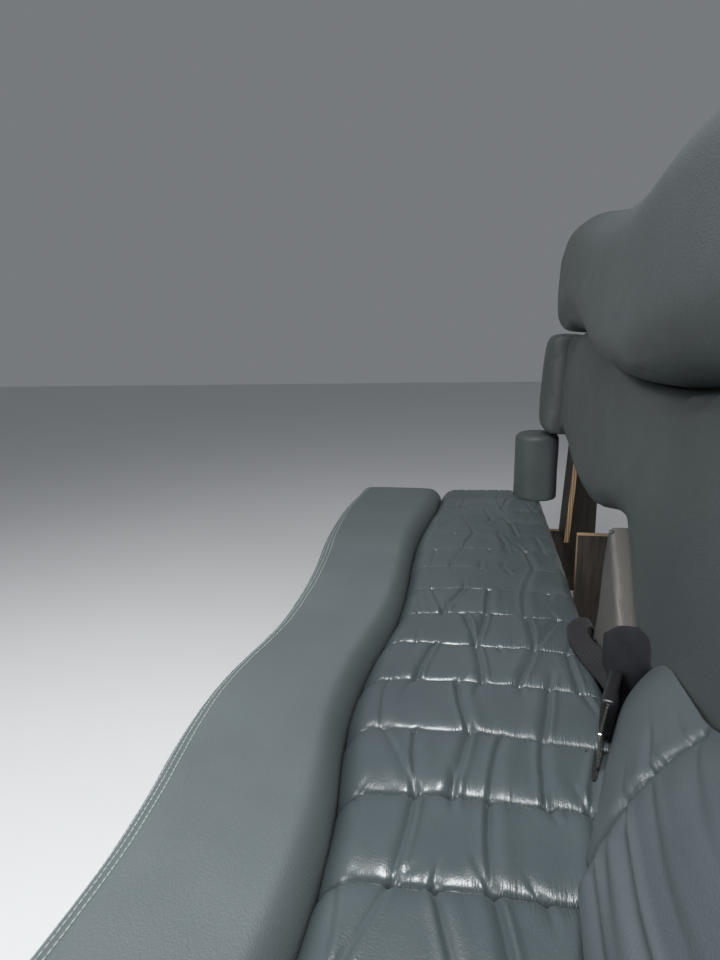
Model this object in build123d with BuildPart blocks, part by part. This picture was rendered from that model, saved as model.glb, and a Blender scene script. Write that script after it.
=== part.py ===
# Upholstered side bench from the cabin of a stretched sport utility vehicle.
# It stands along the cabin wall: +X runs along the bench, the seat faces -Y, +Z is up.
# The origin is on the floor, under the middle of the bench. All sizes are in millimetres.
import os
from math import cos, radians, sin, tan

from build123d import *

# Overall sizes
length = 2150.0
deck_top_z = 190.0

# Board thicknesses
rib_thickness = 18.0
deck_thickness = 15.0
fascia_thickness = 15.0
back_board_thickness = 12.0
rail_thickness = 15.0

# Seat
fascia_setback = 65.0
bolster_height = 100.0
bolster_round = 30.0
bolster_seam_chamfer = 8.0
seam_gap = 0.6
seat_depth = 516.0
channel_count = 21
channel_groove_height = 79.0
channel_crest_height = 92.0
crevice_width = 18.0
ledge_height = 90.0
soft_clearance = 0.3

# Turning points of the bolster's wavy front edge and of the seam behind it:
# (share of the bench's length from its far end, distance behind the foremost point)
front_wave = ((0.0, 10), (0.106, 0), (0.393, 40), (0.518, 13), (0.626, 29), (0.765, 9), (0.905, 34), (1.0, 17))
seam_wave = ((0.0, 239), (0.219, 211), (0.347, 219), (0.491, 194), (0.616, 216), (0.756, 195), (0.895, 217), (1.0, 205))

# Back, measured up its slope from the level of the seat
seat_level_z = 285.0
recline = 3.5
back_face_gap = 9.0
lower_pad_thickness = 50.0
lower_pad_round = 16.0
lower_pad_corner = 22.0
jamb_thickness = 64.0
jamb_tip_gap = 4.0
upper_pad_thickness = 94.0
upper_pad_round = 38.0
board_top = 590.0
upper_pad_start = 195.0
upper_pad_end_round = 40.0

# Turning points of the upper pad's edges: (share of the pad's length, height above the seat)
upper_top_wave = ((0.0, 628), (0.06, 652), (0.345, 600), (0.49, 622), (0.65, 602), (0.80, 624), (1.0, 606))
upper_bottom_wave = ((0.0, 424), (0.09, 436), (0.36, 362), (0.56, 390), (0.71, 366), (0.86, 390), (1.0, 374))

# Opening under the back near its far end
bay_start = 118.0
bay_width = 767.0
bay_end_height = 174.0
bay_middle_height = 131.0
bay_middle_share = 0.62
jamb_width = 200.0
jamb_leaf_width = 160.0

# Corner pad and upright roll at the far end
corner_pad_thickness = 92.0
corner_pad_round = 30.0
corner_roll_radius = 56.0
corner_roll_inset = 22.0
corner_roll_chamfer = 10.0

# Gathered roll along the foot of the back
roll_start = 1305.0
roll_taper = 250.0
roll_lift = 3.0
roll_overhang = 93.0
roll_bulge = 18.0
roll_height = 186.0
roll_tip_overhang = 12.0
roll_tip_bulge = 3.0
roll_tip_height = 52.0

# Frame
rib_count = 5
low_rib_height = 335.0
low_rib_step = 45.0
rib_top_margin = 12.0
upright_top_width = 40.0
sill_height = 90.0
top_rail_height = 70.0
top_rail_drop = 30.0
wire_hole_radius = 22.0

# Floor brackets
bracket_width = 40.0
bracket_leg = 50.0
bracket_thickness = 3.0
bracket_hole_radius = 4.5
bracket_inset = 39.0
bracket_hole_offset = 28.0

# Courtesy lamps in the fascia
lamp_height_z = 104.0
bezel_radius = 33.0
bezel_rise = 4.0
lens_radius = 24.0
lens_fit = 0.3
lens_rise = 2.5

# Lap belt that lies along the back of the seat, on edge
strap_width = 46.0
strap_thickness = 2.0
buckle_strap_start = 790.0
buckle_strap_leg = 35.0
buckle_strap_bend = 55.0
buckle_length = 72.0
buckle_width = 50.0
buckle_thickness = 15.0
buckle_round = 4.0
buckle_place = -5.0
tongue_length = 56.0
tongue_width = 40.0
tongue_thickness = 2.4
tongue_slot_width = 8.0
tongue_slot_height = 26.0
tongue_slot_margin = 7.0
tongue_strap_front = 10.0
anchor_thickness = 3.0
anchor_height = 26.0
anchor_foot = 5.0

# Places worked out from the sizes
half_length = length / 2
back_face_depth = seat_depth + back_face_gap
board_depth = back_face_depth + (lower_pad_thickness + back_board_thickness) / cos(radians(recline))
depth = board_depth + board_top * sin(radians(recline)) + upright_top_width + rail_thickness
front_y = -depth / 2
rear_y = depth / 2
fascia_front_y = front_y + fascia_setback
rib_front_y = fascia_front_y + fascia_thickness
rib_rear_y = rear_y - rail_thickness
deck_bottom_z = deck_top_z - deck_thickness
cushion_rear_y = front_y + seat_depth
ledge_front_y = cushion_rear_y + crevice_width
cushion_top_z = deck_top_z + channel_crest_height
back_front_y = front_y + back_face_depth
board_front_y = back_front_y + lower_pad_thickness / cos(radians(recline))
rib_pitch = (length - rib_thickness) / (rib_count - 1)
bay_end = bay_start + bay_width
bracket_spacing = -2 * (rib_front_y + bracket_inset)
roll_front_depth = back_face_depth - roll_overhang
roll_tip_depth = back_face_depth - roll_tip_overhang
board_foot = (deck_bottom_z - seat_level_z) / cos(radians(recline)) + back_board_thickness * tan(radians(recline))

# The board's front face: its x runs along the bench and its y up the slope of the back.
back_plane = Plane(
    origin=(0, board_front_y, seat_level_z),
    x_dir=(1, 0, 0),
    z_dir=(0, -cos(radians(recline)), sin(radians(recline))),
)


back_normal = Axis(back_plane.origin, back_plane.z_dir)


def station_x(station):
    """Place along the bench of a distance from its far end."""
    return station - half_length


def board_y(z, behind=0.0):
    """How far back the board's front face, or a face behind it, lies at a height."""
    return board_front_y + (z - seat_level_z) * tan(radians(recline)) + behind / cos(radians(recline))


def wave_points(turns, start, span, offset):
    """Turn a table of (share, distance) into points along a span."""
    return [(start + share * span, offset + distance) for share, distance in turns]


def serpentine(points):
    """Join turning points with pairs of equal arcs that are level at each point."""
    for begin, end in zip(points, points[1:]):
        middle = ((begin[0] + end[0]) / 2, (begin[1] + end[1]) / 2)
        TangentArc(begin, middle, tangent=(1, 0))
        TangentArc(middle, end, tangent=(-1, 0), tangent_from_first=False)


def front_face(pad):
    """The face of a pad that lies furthest in front of the back board."""
    return pad.faces().sort_by(back_normal)[-1]


def round_corners(pad, corners, radius):
    """Round a pad's outline at the given corners of its sketch."""
    upright = pad.edges().filter_by(back_normal)
    fillet([upright.sort_by_distance(back_plane.from_local_coords((x, y, 0)))[0] for x, y in corners], radius)


def write(part, name):
    part.label = name
    export_step(part, f"parts/{name}.step")
    print(f"{name}: {part.volume / 1000:.0f} cm3")


os.makedirs("parts", exist_ok=True)

# Edges of the upper pad, which the lower pad's top and the frame behind follow
upper_left = station_x(upper_pad_start)
upper_length = half_length - upper_left
upper_top = wave_points(upper_top_wave, upper_left, upper_length, 0)
upper_bottom = wave_points(upper_bottom_wave, upper_left, upper_length, 0)
lower_top = wave_points(upper_bottom_wave, upper_left, upper_length, -soft_clearance)
lower_top_height = lower_top[0][1]

# Front bolster: overhangs the fascia, its front edge in long waves
front_edge = wave_points(front_wave, -half_length, length, front_y)
bolster_rear = wave_points(seam_wave, -half_length, length, front_y - seam_gap / 2)
with BuildPart() as front_bolster:
    with BuildSketch(Plane.XY.offset(deck_top_z)):
        with BuildLine():
            serpentine(front_edge)
            serpentine(bolster_rear)
            Line(front_edge[0], bolster_rear[0])
            Line(front_edge[-1], bolster_rear[-1])
        make_face()
    extrude(amount=bolster_height)
    rims = front_bolster.faces().sort_by(Axis.Z)[-1].edges().sort_by(Axis.Y)
    seam_arcs = 2 * (len(seam_wave) - 1)
    fillet(rims[:-seam_arcs], bolster_round)
    top_rims = front_bolster.faces().sort_by(Axis.Z)[-1].edges().sort_by(Axis.Y)
    chamfer(top_rims[-seam_arcs:], bolster_seam_chamfer)
write(front_bolster.part, "front_bolster")

# Channelled cushion: a row of crowned flutes, cut to the seam's wave at the front
cushion_front = wave_points(seam_wave, -half_length, length, front_y + seam_gap / 2)
channel_pitch = length / channel_count
with BuildPart() as channel_cushion:
    with BuildSketch(Plane.XZ.offset(-cushion_rear_y)):
        with BuildLine():
            for channel in range(channel_count):
                x = -half_length + channel * channel_pitch
                ThreePointArc(
                    (x, deck_top_z + channel_groove_height),
                    (x + channel_pitch / 2, deck_top_z + channel_crest_height),
                    (x + channel_pitch, deck_top_z + channel_groove_height),
                )
            Polyline(
                (half_length, deck_top_z + channel_groove_height),
                (half_length, deck_top_z),
                (-half_length, deck_top_z),
                (-half_length, deck_top_z + channel_groove_height),
            )
        make_face()
    extrude(amount=seat_depth)
    with BuildSketch(Plane.XY.offset(deck_top_z)):
        with BuildLine():
            serpentine(cushion_front)
            Polyline(
                cushion_front[-1],
                (half_length, cushion_rear_y),
                (-half_length, cushion_rear_y),
                cushion_front[0],
            )
        make_face()
    extrude(amount=channel_crest_height, mode=Mode.INTERSECT)
write(channel_cushion.part, "channel_cushion")

# Deck under the cushions
with BuildPart() as deck:
    with BuildSketch(Plane.XY.offset(deck_bottom_z)):
        with Locations((0, rib_front_y)):
            Rectangle(length, ledge_front_y - rib_front_y, align=(Align.CENTER, Align.MIN))
    extrude(amount=deck_thickness)
write(deck.part, "deck")

# Fascia with a raised bezel round each courtesy lamp, one midway between each two ribs
lamp_stations = [rib_thickness / 2 + (space + 0.5) * rib_pitch for space in range(rib_count - 1)]
lamp_face = Plane.XZ.offset(-fascia_front_y)
lamp_places = [(station_x(station), lamp_height_z) for station in lamp_stations]
with BuildPart() as fascia:
    with BuildSketch(lamp_face):
        with Locations((0, deck_top_z / 2)):
            Rectangle(length, deck_top_z)
    extrude(amount=-fascia_thickness)
    with BuildSketch(lamp_face):
        with Locations(lamp_places):
            Circle(bezel_radius)
    extrude(amount=bezel_rise)
    with BuildSketch(lamp_face.offset(bezel_rise)):
        with Locations(lamp_places):
            Circle(lens_radius + lens_fit)
    extrude(amount=-fascia_thickness - bezel_rise, mode=Mode.SUBTRACT)
write(fascia.part, "fascia")

# Ribs: upright plywood standards, low where the back is open
for rib in range(rib_count):
    rib_start = rib * rib_pitch
    in_bay = bay_start < rib_start and rib_start + rib_thickness < bay_end
    if in_bay:
        upper_outline = [
            (rib_rear_y, deck_bottom_z),
            (rib_rear_y - low_rib_step, deck_bottom_z),
            (rib_rear_y - low_rib_step, low_rib_height),
            (ledge_front_y + soft_clearance, low_rib_height),
            (ledge_front_y + soft_clearance, deck_bottom_z),
        ]
    else:
        rib_rise = lower_top_height if rib_start < upper_pad_start else board_top
        rib_top_z = seat_level_z + (rib_rise - rib_top_margin) * cos(radians(recline))
        upper_outline = [
            (rib_rear_y, rib_top_z),
            (board_y(rib_top_z, back_board_thickness), rib_top_z),
            (board_y(deck_bottom_z, back_board_thickness), deck_bottom_z),
        ]
    with BuildPart() as standard:
        with BuildSketch(Plane.YZ.offset(station_x(rib_start))):
            with BuildLine():
                Polyline(
                    (rib_front_y, 0),
                    (rib_rear_y, 0),
                    *upper_outline,
                    (rib_front_y, deck_bottom_z),
                    close=True,
                )
            make_face()
            with Locations((0, deck_bottom_z / 2)):
                Circle(wire_hole_radius, mode=Mode.SUBTRACT)
        extrude(amount=rib_thickness)
    write(standard.part, f"rib_{rib + 1}")

# Rails that tie the ribs together behind
with BuildPart() as rear_sill:
    with BuildSketch(Plane.XZ.offset(-rear_y)):
        with Locations((0, sill_height / 2)):
            Rectangle(length, sill_height)
    extrude(amount=rail_thickness)
write(rear_sill.part, "rear_sill")

top_rail_z = seat_level_z + board_top - top_rail_drop - top_rail_height
with BuildPart() as top_rail:
    with BuildSketch(Plane.XZ.offset(-rear_y)):
        with Locations((upper_left + upper_pad_end_round, top_rail_z)):
            Rectangle(upper_length - upper_pad_end_round, top_rail_height, align=(Align.MIN, Align.MIN))
    extrude(amount=rail_thickness)
write(top_rail.part, "top_rail")

# Back board, cut away under the far end
bay_left = station_x(bay_start)
bay_right = station_x(bay_end)
bay_edge = [
    (bay_left, bay_end_height),
    (bay_left + bay_width * bay_middle_share, bay_middle_height),
    (bay_right, bay_end_height),
]
with BuildPart() as back_board:
    with BuildSketch(back_plane):
        with BuildLine():
            serpentine(bay_edge)
            Polyline(
                bay_edge[-1],
                (bay_right, board_foot),
                (half_length, board_foot),
                (half_length, board_top),
                (upper_left + upper_pad_end_round, board_top),
                (upper_left + upper_pad_end_round, lower_top_height),
                (-half_length, lower_top_height),
                (-half_length, board_foot),
                (bay_left, board_foot),
                bay_edge[0],
            )
        make_face()
    extrude(amount=-back_board_thickness)
write(back_board.part, "back_board")

# Lower back pad: hangs in a lobe over the opening and slopes down beside it
jamb_foot = (cushion_top_z + soft_clearance - seat_level_z) / cos(radians(recline))
jamb_right = bay_right + jamb_width
with BuildPart() as lower_back_pad:
    with BuildSketch(back_plane):
        with BuildLine():
            serpentine(bay_edge)
            serpentine(lower_top)
            Polyline(bay_edge[-1], (jamb_right, jamb_foot), (half_length, jamb_foot), lower_top[-1])
            Polyline(lower_top[0], (bay_left, lower_top_height), bay_edge[0])
        make_face()
    extrude(amount=lower_pad_thickness)
    lower_corners = [bay_edge[0], bay_edge[-1], (jamb_right, jamb_foot), (half_length, jamb_foot)]
    round_corners(lower_back_pad, lower_corners, lower_pad_corner)
    # The top edge stays square, tucked in behind the upper pad
    rims = front_face(lower_back_pad).edges().sort_by(Axis.Z)
    top_arcs = 2 * (len(upper_bottom_wave) - 1)
    fillet(rims[:-top_arcs], lower_pad_round)
write(lower_back_pad.part, "lower_back_pad")

# Padded leaf that closes the gap under the sloping pad. It stands prouder than the pad and
# stops short of the foot roll's tip
leaf_top = bay_end_height - jamb_tip_gap
leaf_slope = (leaf_top - jamb_foot) / (jamb_width - soft_clearance * 3)
leaf_rise = leaf_slope * (jamb_width - soft_clearance * 2 - jamb_leaf_width)
with BuildPart() as bay_jamb:
    with BuildSketch(back_plane):
        with BuildLine():
            Polyline(
                (bay_right + soft_clearance, jamb_foot),
                (bay_right + jamb_leaf_width, jamb_foot),
                (bay_right + jamb_leaf_width, jamb_foot + leaf_rise),
                (bay_right + soft_clearance, leaf_top),
                close=True,
            )
        make_face()
    extrude(amount=jamb_thickness)
write(bay_jamb.part, "bay_jamb")

# Upper back pad: a long bolster with wavy edges, fixed over the lower pad's top
with BuildPart() as upper_back_pad:
    with BuildSketch(back_plane):
        with BuildLine():
            serpentine(upper_top)
            serpentine(upper_bottom)
            Line(upper_top[0], upper_bottom[0])
            Line(upper_top[-1], upper_bottom[-1])
        make_face()
    extrude(amount=upper_pad_thickness)
    upper_corners = [upper_top[0], upper_bottom[0], upper_top[-1], upper_bottom[-1]]
    round_corners(upper_back_pad, upper_corners, upper_pad_end_round)
    fillet(front_face(upper_back_pad).edges(), upper_pad_round)
write(upper_back_pad.part, "upper_back_pad")

# Corner pad: a deep rounded block over the far leg of the board
with BuildPart() as corner_pad:
    with BuildSketch(back_plane):
        with BuildLine():
            Polyline(
                (-half_length, bay_end_height),
                (bay_left - soft_clearance, bay_end_height),
                (bay_left - soft_clearance, lower_top_height),
                (-half_length, lower_top_height),
                close=True,
            )
        make_face()
    extrude(amount=corner_pad_thickness)
    fillet(front_face(corner_pad).edges(), corner_pad_round)
write(corner_pad.part, "corner_pad")

# Upright roll in the far corner, standing on the cushion
corner_roll_top_z = seat_level_z + bay_end_height * cos(radians(recline)) - soft_clearance
with BuildPart() as corner_roll:
    with BuildSketch(Plane.XY.offset(cushion_top_z + soft_clearance)):
        with Locations((-half_length + corner_roll_radius, cushion_rear_y - corner_roll_inset)):
            Circle(corner_roll_radius)
    extrude(amount=corner_roll_top_z - cushion_top_z - soft_clearance)
    chamfer(corner_roll.faces().sort_by(Axis.Z)[-1].edges(), corner_roll_chamfer)
write(corner_roll.part, "corner_roll")

# Filler ledge that stands on the ribs between the deck's edge and the back board
ledge_top_z = deck_top_z + ledge_height
with BuildPart() as ledge:
    with BuildSketch(Plane.YZ.offset(station_x(bay_end))):
        with BuildLine():
            Polyline(
                (ledge_front_y, deck_bottom_z),
                (board_y(deck_bottom_z), deck_bottom_z),
                (board_y(ledge_top_z), ledge_top_z),
                (ledge_front_y, ledge_top_z),
                close=True,
            )
        make_face()
    extrude(amount=length - bay_end)
write(ledge.part, "ledge")

# Gathered roll along the foot of the back: one section, drawn out to a low tip at its far end
roll_foot_z = cushion_top_z + roll_lift
roll_sections = (
    # station, front depth, bulge, height
    (roll_start - roll_taper, roll_tip_depth, roll_tip_bulge, roll_tip_height),
    (roll_start, roll_front_depth, roll_bulge, roll_height),
    (length, roll_front_depth, roll_bulge, roll_height),
)


def roll_back_y(z):
    """Where the roll meets the face of the lower pad."""
    return board_y(z, -lower_pad_thickness) - soft_clearance


with BuildPart() as foot_roll:
    for ends in zip(roll_sections, roll_sections[1:]):
        for station, front, bulge, rise in ends:
            foot = (front_y + front, roll_foot_z)
            crest = (roll_back_y(seat_level_z + rise), seat_level_z + rise)
            heel = (roll_back_y(roll_foot_z), roll_foot_z)
            with BuildSketch(Plane.YZ.offset(station_x(station))):
                with BuildLine():
                    SagittaArc(foot, crest, bulge)
                    Polyline(crest, heel, foot)
                make_face()
        loft()
write(foot_roll.part, "foot_roll")

# Floor brackets inside the end ribs
bracket_places = [(end, row) for end in (-1, 1) for row in (-1, 1)]
for number, (end, row) in enumerate(bracket_places, start=1):
    bracket_y = row * bracket_spacing / 2
    rib_face_x = end * (half_length - rib_thickness)
    with BuildPart() as bracket:
        with BuildSketch(Plane.XZ.offset(-bracket_y - bracket_width / 2)):
            with BuildLine():
                Polyline(
                    (rib_face_x, 0),
                    (rib_face_x - end * bracket_leg, 0),
                    (rib_face_x - end * bracket_leg, bracket_thickness),
                    (rib_face_x - end * bracket_thickness, bracket_thickness),
                    (rib_face_x - end * bracket_thickness, bracket_leg),
                    (rib_face_x, bracket_leg),
                    close=True,
                )
            make_face()
        extrude(amount=bracket_width)
        with Locations((rib_face_x - end * bracket_hole_offset, bracket_y, bracket_thickness)):
            Hole(bracket_hole_radius, depth=bracket_thickness)
    write(bracket.part, f"floor_bracket_{number}")

# Lamp lenses: flat plugs pressed into the bezels
for number, lens_place in enumerate(lamp_places, start=1):
    with BuildPart() as lens:
        with BuildSketch(lamp_face.offset(lens_rise)):
            with Locations(lens_place):
                Circle(lens_radius)
        extrude(amount=-lens_rise - fascia_thickness)
    write(lens.part, f"lamp_lens_{number}")

# Lap belt: its hardware stands on edge along the foot roll's tapered end
strap_foot_z = cushion_top_z + soft_clearance
belt_direction = Vector(roll_taper, roll_front_depth - roll_tip_depth, 0)
belt_plane = Plane(
    origin=(station_x(roll_start - roll_taper), front_y + roll_tip_depth - soft_clearance, strap_foot_z),
    x_dir=belt_direction,
    z_dir=Vector(roll_front_depth - roll_tip_depth, -roll_taper, 0),
)
with BuildPart() as buckle:
    with BuildSketch(belt_plane):
        with Locations((buckle_place + buckle_length / 2, buckle_width / 2)):
            RectangleRounded(buckle_length, buckle_width, buckle_round)
    extrude(amount=buckle_thickness)
write(buckle.part, "belt_buckle")

tongue_start = buckle_place + buckle_length + soft_clearance
tongue_offset = (buckle_thickness - tongue_thickness) / 2
with BuildPart() as tongue:
    with BuildSketch(belt_plane.offset(tongue_offset)):
        with Locations((tongue_start + tongue_length / 2, buckle_width / 2)):
            RectangleRounded(tongue_length, tongue_width, buckle_round)
        slot_x = tongue_start + tongue_length - tongue_slot_margin - tongue_slot_width / 2
        with Locations((slot_x, buckle_width / 2)):
            Rectangle(tongue_slot_width, tongue_slot_height, mode=Mode.SUBTRACT)
    extrude(amount=tongue_thickness)
write(tongue.part, "belt_tongue")

# Straps: one stands on edge on the cushion, the other lies under the roll, and both
# drop down the crevice behind the cushion to steel anchors on the deck
crevice_strap_y = cushion_rear_y + (crevice_width - strap_thickness) / 2
buckle_end = belt_plane.from_local_coords((buckle_place, 0, buckle_thickness / 2))
leg_left = station_x(buckle_strap_start)
leg_right = leg_left + buckle_strap_leg
strap_line_y = buckle_end.Y - strap_thickness / 2
strap_end_x = buckle_end.X - 2 * soft_clearance
with BuildPart() as buckle_strap:
    with BuildSketch(Plane.XY.offset(strap_foot_z)):
        with BuildLine():
            for side in (0, strap_thickness):
                bend = [
                    (leg_right, crevice_strap_y + side),
                    (leg_right + buckle_strap_bend, strap_line_y + side),
                ]
                serpentine(bend)
                Line(bend[-1], (strap_end_x, strap_line_y + side))
                Line((leg_left, crevice_strap_y + side), bend[0])
            Line((strap_end_x, strap_line_y), (strap_end_x, strap_line_y + strap_thickness))
            Line((leg_left, crevice_strap_y), (leg_left, crevice_strap_y + strap_thickness))
        make_face()
    extrude(amount=strap_width)
    with BuildSketch(Plane.XZ.offset(-crevice_strap_y)):
        with Locations((leg_left, deck_top_z)):
            Rectangle(buckle_strap_leg, strap_foot_z - deck_top_z, align=(Align.MIN, Align.MIN))
    extrude(amount=-strap_thickness)
write(buckle_strap.part, "belt_strap_buckle")

tongue_end = belt_plane.from_local_coords((slot_x, 0, buckle_thickness / 2))
tongue_strap_x = tongue_end.X - strap_width / 2
tongue_strap_front_y = tongue_end.Y - tongue_strap_front
with BuildPart() as tongue_strap:
    with BuildSketch(Plane.YZ.offset(tongue_strap_x)):
        with BuildLine():
            Polyline(
                (tongue_strap_front_y, strap_foot_z),
                (crevice_strap_y, strap_foot_z),
                (crevice_strap_y, deck_top_z),
                (crevice_strap_y + strap_thickness, deck_top_z),
                (crevice_strap_y + strap_thickness, strap_foot_z + strap_thickness),
                (tongue_strap_front_y, strap_foot_z + strap_thickness),
                close=True,
            )
        make_face()
    extrude(amount=strap_width)
write(tongue_strap.part, "belt_strap_tongue")

anchor_face_y = crevice_strap_y + strap_thickness
anchor_places = (("buckle", leg_left, buckle_strap_leg), ("tongue", tongue_strap_x, strap_width))
for name, anchor_x, anchor_width in anchor_places:
    with BuildPart() as anchor:
        with BuildSketch(Plane.YZ.offset(anchor_x)):
            with BuildLine():
                Polyline(
                    (anchor_face_y, deck_top_z),
                    (anchor_face_y + anchor_thickness + anchor_foot, deck_top_z),
                    (anchor_face_y + anchor_thickness + anchor_foot, deck_top_z + anchor_thickness),
                    (anchor_face_y + anchor_thickness, deck_top_z + anchor_thickness),
                    (anchor_face_y + anchor_thickness, deck_top_z + anchor_height),
                    (anchor_face_y, deck_top_z + anchor_height),
                    close=True,
                )
            make_face()
        extrude(amount=anchor_width)
    write(anchor.part, f"belt_anchor_{name}")
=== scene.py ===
# %% [markdown]
# # A long bench seat in ruched leather
#
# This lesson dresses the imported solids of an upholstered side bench. The bench has a plywood frame,
# a smooth front bolster, a gathered and channelled cushion, padded back pieces and a lap belt.
# Everything is in metres: +X runs along the bench, the seat faces -Y and +Z is up.

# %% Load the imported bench
import math
import random

import bmesh
import bpy
import numpy as np
from mathutils import Matrix, Vector, noise
from mathutils.bvhtree import BVHTree


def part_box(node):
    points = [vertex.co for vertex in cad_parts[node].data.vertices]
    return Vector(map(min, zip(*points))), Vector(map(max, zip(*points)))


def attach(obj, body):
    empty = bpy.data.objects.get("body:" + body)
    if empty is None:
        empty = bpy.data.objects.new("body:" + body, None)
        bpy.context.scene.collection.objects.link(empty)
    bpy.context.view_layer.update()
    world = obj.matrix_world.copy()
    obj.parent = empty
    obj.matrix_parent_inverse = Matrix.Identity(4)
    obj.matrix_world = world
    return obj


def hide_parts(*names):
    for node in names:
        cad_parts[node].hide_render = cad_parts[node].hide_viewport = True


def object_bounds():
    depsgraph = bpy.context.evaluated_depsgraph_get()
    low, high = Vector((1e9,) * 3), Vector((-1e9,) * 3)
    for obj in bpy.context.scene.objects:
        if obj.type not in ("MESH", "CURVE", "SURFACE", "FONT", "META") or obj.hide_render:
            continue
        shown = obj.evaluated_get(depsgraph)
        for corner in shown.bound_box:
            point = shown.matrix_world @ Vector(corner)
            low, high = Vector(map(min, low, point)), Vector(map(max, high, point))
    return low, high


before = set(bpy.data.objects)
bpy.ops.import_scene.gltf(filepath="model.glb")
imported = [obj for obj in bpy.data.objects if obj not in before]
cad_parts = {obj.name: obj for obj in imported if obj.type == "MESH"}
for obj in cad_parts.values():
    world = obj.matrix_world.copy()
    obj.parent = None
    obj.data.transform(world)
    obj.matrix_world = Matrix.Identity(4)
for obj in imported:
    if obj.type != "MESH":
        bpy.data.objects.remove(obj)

cad_low, cad_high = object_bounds()
print("solids:", len(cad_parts), "box:", tuple(round(v, 3) for v in cad_high - cad_low))

# %% [markdown]
# ## The camera
#
# The photograph was taken from above the seat, looking along it towards the far end. A camera can be
# aimed with a tracking constraint, but here its three angles are known, so its axes are built
# from them. The sensor is fitted to the picture's long side, which is the upright one.

# %% Put the camera above the seat
eye = Vector((0.670, 0.006, 0.717))
yaw, pitch, roll = math.radians(11.15), math.radians(13.03), math.radians(-1.385)
focal_pixels, picture_height = 620.0, 960.0

forward = Vector((-math.cos(yaw) * math.cos(pitch), -math.sin(yaw) * math.cos(pitch), -math.sin(pitch)))
level_right = forward.cross(Vector((0, 0, 1))).normalized()
level_up = level_right.cross(forward)
right = level_right * math.cos(roll) + level_up * math.sin(roll)
up = level_up * math.cos(roll) - level_right * math.sin(roll)

camera_data = bpy.data.cameras.new("photo_camera")
camera_data.sensor_width = 36.0
camera_data.lens = camera_data.sensor_width * focal_pixels / picture_height
camera_data.clip_start = 0.01
camera = bpy.data.objects.new("photo_camera", camera_data)
camera.matrix_world = Matrix.Translation(eye) @ Matrix((right, up, -forward)).transposed().to_4x4()
bpy.context.scene.collection.objects.link(camera)
bpy.context.scene.camera = camera
print("lens:", round(camera_data.lens, 2), "mm")

# %% [markdown]
# ## The light
#
# Dark leather shows its shape through soft reflections. A wide lamp above the near part lights the
# rolls of the cushion where they turn down into their seams, a smaller one picks out the sides of
# the folds, and two more fill the front and the back. The world stays a plain grey, so that nothing
# bright is mirrored in the flat stretches.

# %% Hang the lamps
scene = bpy.context.scene
scene.view_settings.view_transform = "Standard"

world = bpy.data.worlds.new("studio")
scene.world = world
world.use_nodes = True
sky = world.node_tree.nodes["Background"]
sky.inputs["Color"].default_value = (0.62, 0.65, 0.68, 1)
sky.inputs["Strength"].default_value = 0.30

lamps = (
    # name, place, target, size, watts
    ("near_lamp", (0.50, -0.05, 1.85), (0.30, 0.0, 0.3), 0.70, 27),
    ("fold_lamp", (0.0, -0.95, 1.55), (0.1, 0.0, 0.3), 0.45, 5),
    ("front_lamp", (1.2, -2.0, 1.3), (0.2, 0.0, 0.4), 1.0, 18),
    ("rear_lamp", (0.4, 2.8, 2.0), (0.0, 0.2, 0.5), 2.0, 22),
)
for name, place, target, size, watts in lamps:
    light = bpy.data.lights.new(name, "AREA")
    light.size, light.energy = size, watts
    lamp = bpy.data.objects.new(name, light)
    lamp.location = place
    lamp.rotation_euler = (Vector(target) - Vector(place)).to_track_quat("-Z", "Y").to_euler()
    scene.collection.objects.link(lamp)
    print(name, "is", size, "m wide and gives", watts, "W")

# %% [markdown]
# ## The long waves
#
# The front edge of the bolster, the seam behind it and the edges of the back pads all run in long
# level waves. Each is a short table of turning points, joined by pairs of equal arcs. Two halves of
# a parabola come so close to such arcs that the formula below stands for them.

# %% Waves from turning points
length = 2.150
half_length = length / 2
front_y = cad_low.y
deck_top_z = 0.190
soft_clearance = 0.0003

front_turns = (
    (0.0, 0.010), (0.106, 0.000), (0.393, 0.040), (0.518, 0.013),
    (0.626, 0.029), (0.765, 0.009), (0.905, 0.034), (1.0, 0.017),
)
seam_turns = (
    (0.0, 0.239), (0.219, 0.211), (0.347, 0.219), (0.491, 0.194),
    (0.616, 0.216), (0.756, 0.195), (0.895, 0.217), (1.0, 0.205),
)


def wave_y(turns, x):
    """How far back a wave lies at places along the bench, from its table of (share, depth)."""
    places, levels = (np.array(column) for column in zip(*turns))
    share = np.clip((x + half_length) / length, 0, 1)
    part = np.clip(np.searchsorted(places, share, side="right") - 1, 0, len(places) - 2)
    along = (share - places[part]) / (places[part + 1] - places[part])
    rise = np.where(along < 0.5, 2 * along**2, 1 - 2 * (1 - along) ** 2)
    return front_y + levels[part] + (levels[part + 1] - levels[part]) * rise


middle_depth = float(wave_y(seam_turns, 0.0) - wave_y(front_turns, 0.0))
print("bolster is", round(middle_depth, 3), "m deep at its middle")

# %% [markdown]
# ## First steps with materials
#
# A finish is a small graph of nodes that ends in one main shader. It can be drawn by hand in the
# shader editor, but a script that repeats its nodes does better with a few helpers. A value that is
# a socket gets linked, and any other is set. The studio floor gets the first material.

# %% Make nodes and feed them
def new_material(name):
    """A material with its node tree and main shader at hand."""
    material = bpy.data.materials.new(name)
    material.use_nodes = True
    tree = material.node_tree
    return material, tree, tree.nodes["Principled BSDF"]


def connect(tree, value, socket):
    """Link a socket if the value is another socket, or else set it."""
    if isinstance(value, bpy.types.NodeSocket):
        tree.links.new(value, socket)
    else:
        socket.default_value = value


def feed(tree, target, **inputs):
    """Connect the named inputs of a node."""
    for name, value in inputs.items():
        connect(tree, value, target.inputs[name.replace("_", " ")])


def node(tree, kind, **inputs):
    """Add a node and feed its named inputs."""
    made = tree.nodes.new(kind)
    feed(tree, made, **inputs)
    return made


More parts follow.
